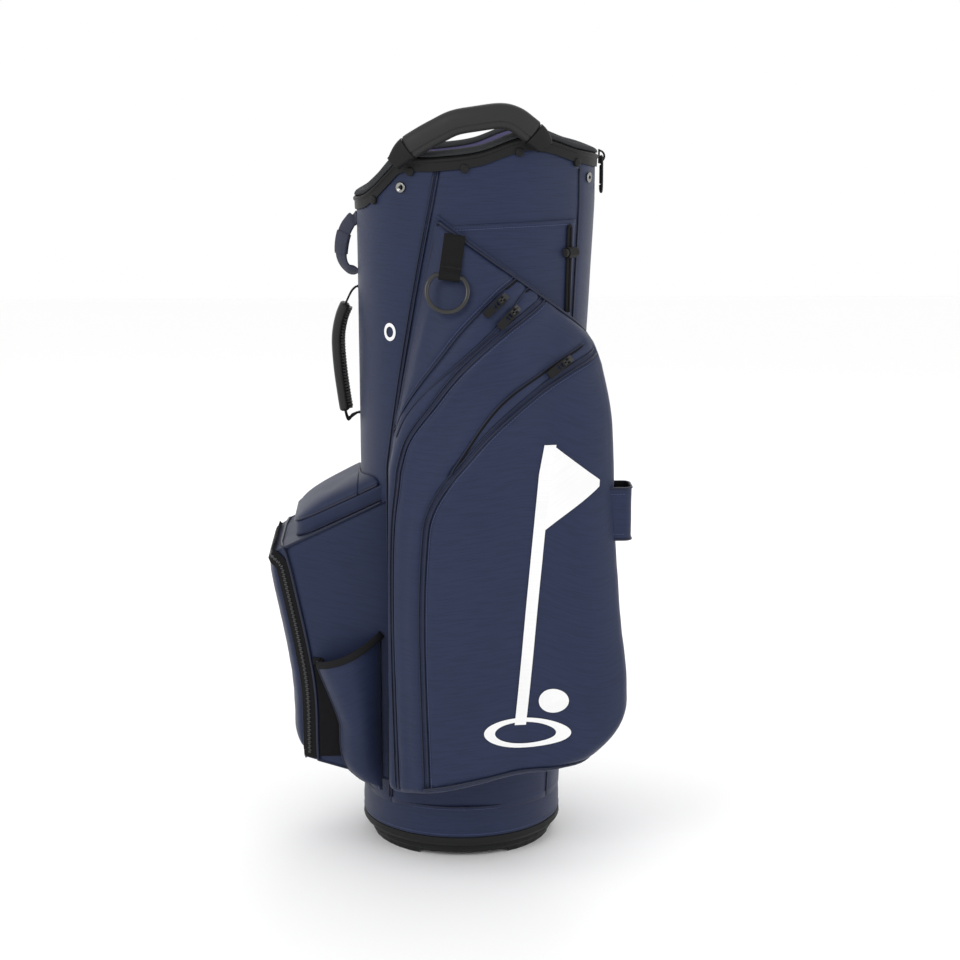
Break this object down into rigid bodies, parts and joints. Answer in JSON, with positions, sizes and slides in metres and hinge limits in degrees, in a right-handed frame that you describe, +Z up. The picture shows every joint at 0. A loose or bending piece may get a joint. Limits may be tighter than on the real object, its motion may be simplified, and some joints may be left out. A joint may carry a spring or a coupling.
{
  "type": "golf cart bag",
  "caption": "Upright fabric golf cart bag: oval tube on a round moulded foot, divided top with wavy cuff and carry handle, zipped side pockets, front ball pocket.",
  "frame": {"origin": "centre of the foot tray's underside, on the ground", "axes": "+Z up, -Y to the front with the ball pocket, +Y to the spine, +X to the right side with the towel ring"},
  "size_m": [0.373, 0.4481, 0.9414],
  "materials": {
    "navy_fabric": "matt ripstop weave",
    "black_moulding": "matt moulded",
    "soft_grip": "soft touch",
    "lining_fabric": "soft velour",
    "stay_metal": "plain",
    "dark_metal": "gunmetal",
    "black_webbing": "woven",
    "bright_metal": "bright"
  },
  "bodies": {
    "bag": {"tube_front_panel": "navy_fabric", "tube_right_panel": "navy_fabric", "tube_left_panel": "navy_fabric", "tube_spine_panel": "navy_fabric", "base_tray": "black_moulding", "base_trim": "black_moulding", "base_band": "navy_fabric", "cuff_collar": "black_moulding", "cuff_pad": "soft_grip", "divider_cross_1": "lining_fabric", "divider_cross_2": "lining_fabric", "divider_cross_3": "lining_fabric", "divider_cross_4": "lining_fabric", "divider_long_right": "lining_fabric", "divider_long_left": "lining_fabric", "divider_front": "lining_fabric", "divider_caps": "soft_grip", "stay_right": "stay_metal", "stay_left": "stay_metal", "top_handle": "black_moulding", "top_handle_grip": "soft_grip", "apparel_pocket_right": "navy_fabric", "apparel_pocket_left": "navy_fabric", "cuff_rivet_1": "black_moulding", "cuff_rivet_2": "black_moulding", "cuff_rivet_3": "black_moulding", "cuff_rivet_4": "black_moulding", "cuff_rivet_5": "black_moulding", "hood_snap_front_right": "bright_metal", "hood_snap_front_left": "bright_metal", "hood_snap_back_right": "bright_metal", "hood_snap_back_left": "bright_metal", "clip_lug": "black_moulding", "ball_pocket": "navy_fabric", "valuables_pocket": "navy_fabric", "bottle_pocket_right": "navy_fabric", "bottle_pocket_left": "navy_fabric", "front_loop": "navy_fabric", "elastic_cord": "black_webbing", "umbrella_sleeve": "navy_fabric"},
    "zip_outer_slider": {"zip_outer_slider": "dark_metal"},
    "zip_outer_pull": {"zip_outer_pull": "soft_grip"},
    "zip_middle_slider": {"zip_middle_slider": "dark_metal"},
    "zip_middle_pull": {"zip_middle_pull": "soft_grip"},
    "zip_inner_slider": {"zip_inner_slider": "dark_metal"},
    "zip_inner_pull": {"zip_inner_pull": "soft_grip"},
    "zip_ball_slider": {"zip_ball_slider": "dark_metal"},
    "zip_ball_pull": {"zip_ball_pull": "soft_grip"},
    "towel_strap": {"towel_webbing": "black_webbing"},
    "towel_ring": {"towel_ring": "dark_metal"},
    "lift_handle": {"lift_handle_webbing": "black_webbing", "lift_handle_grip": "soft_grip"},
    "valuables_lid": {"valuables_lid": "navy_fabric"},
    "ball_door": {"ball_pocket_door": "navy_fabric"},
    "clip": {"clip_hook": "black_moulding"},
    "clip_gate": {"clip_gate": "dark_metal"},
    "cord_lock": {"cord_lock_body": "black_moulding"},
    "cord_lock_button": {"cord_lock_button": "soft_grip"}
  },
  "joints": [
    {"name": "zip_outer_run", "type": "slide", "parent": "bag", "child": "zip_outer_slider", "axis": [0.3746, -0.7005, -0.6075], "range_m": [0, 0.03]},
    {"name": "zip_outer_pull_swing", "type": "hinge", "parent": "zip_outer_slider", "child": "zip_outer_pull", "pos_m": [0.15022, 0.04748, 0.71447], "axis": [-0.1168, -0.6856, 0.7186], "range_deg": [0, 140]},
    {"name": "zip_middle_run", "type": "slide", "parent": "bag", "child": "zip_middle_slider", "axis": [0.4506, -0.6545, -0.6071], "range_m": [0, 0.03]},
    {"name": "zip_middle_pull_swing", "type": "hinge", "parent": "zip_middle_slider", "child": "zip_middle_pull", "pos_m": [0.15125, 0.06201, 0.70038], "axis": [-0.0139, -0.6851, 0.7283], "range_deg": [0, 140]},
    {"name": "zip_inner_run", "type": "slide", "parent": "bag", "child": "zip_inner_slider", "axis": [0.3764, -0.7601, -0.5297], "range_m": [0, 0.03]},
    {"name": "zip_inner_pull_swing", "type": "hinge", "parent": "zip_inner_slider", "child": "zip_inner_pull", "pos_m": [0.14693, 0.12523, 0.63931], "axis": [-0.0989, -0.6015, 0.7927], "range_deg": [0, 140]},
    {"name": "zip_ball_run", "type": "slide", "parent": "bag", "child": "zip_ball_slider", "axis": [0, -0.1381, 0.9904], "range_m": [0, 0.22]},
    {"name": "zip_ball_pull_swing", "type": "hinge", "parent": "zip_ball_slider", "child": "zip_ball_pull", "pos_m": [-0.08492, -0.19869, 0.14924], "axis": [-0.6609, 0.7433, 0.1036], "range_deg": [0, 140]},
    {"name": "towel_strap_swing", "type": "hinge", "parent": "bag", "child": "towel_strap", "pos_m": [0.12999, -0.00963, 0.788], "axis": [-0.0022, -0.9875, 0.1574], "range_deg": [0, 100]},
    {"name": "towel_ring_swing", "type": "hinge", "parent": "towel_strap", "child": "towel_ring", "pos_m": [0.14922, -0.01731, 0.74011], "axis": [-0.0022, -0.9875, 0.1574], "range_deg": [0, 110]},
    {"name": "lift_handle_swing", "type": "hinge", "parent": "bag", "child": "lift_handle", "pos_m": [0, -0.13055, 0], "axis": [0, 0, 1], "range_deg": [-28, 28]},
    {"name": "valuables_lid_hinge", "type": "hinge", "parent": "bag", "child": "valuables_lid", "pos_m": [0, -0.12993, 0.47753], "axis": [-1, 0, 0], "range_deg": [0, 80]},
    {"name": "ball_door_hinge", "type": "hinge", "parent": "bag", "child": "ball_door", "pos_m": [0, -0.20178, 0.129], "axis": [1, 0, 0], "range_deg": [0, 75]},
    {"name": "clip_swing", "type": "hinge", "parent": "bag", "child": "clip", "pos_m": [0, 0.17535, 0.8736], "axis": [1, 0, 0], "range_deg": [0, 90]},
    {"name": "clip_gate_spring", "type": "hinge", "parent": "clip", "child": "clip_gate", "pos_m": [-0.01, 0.17535, 0.8388], "axis": [0, 1, 0], "range_deg": [0, 24], "stiffness_Nm_per_rad": 0.02, "springref_deg": -17.19},
    {"name": "cord_lock_slide", "type": "slide", "parent": "bag", "child": "cord_lock", "axis": [0.0215, 0.0192, 0.9996], "range_m": [-0.03, 0.015]},
    {"name": "cord_lock_press", "type": "slide", "parent": "cord_lock", "child": "cord_lock_button", "axis": [-0.6675, 0.7446, 0], "range_m": [0, 0.0017], "stiffness_N_per_m": 400, "springref_m": -0.002}
  ]
}
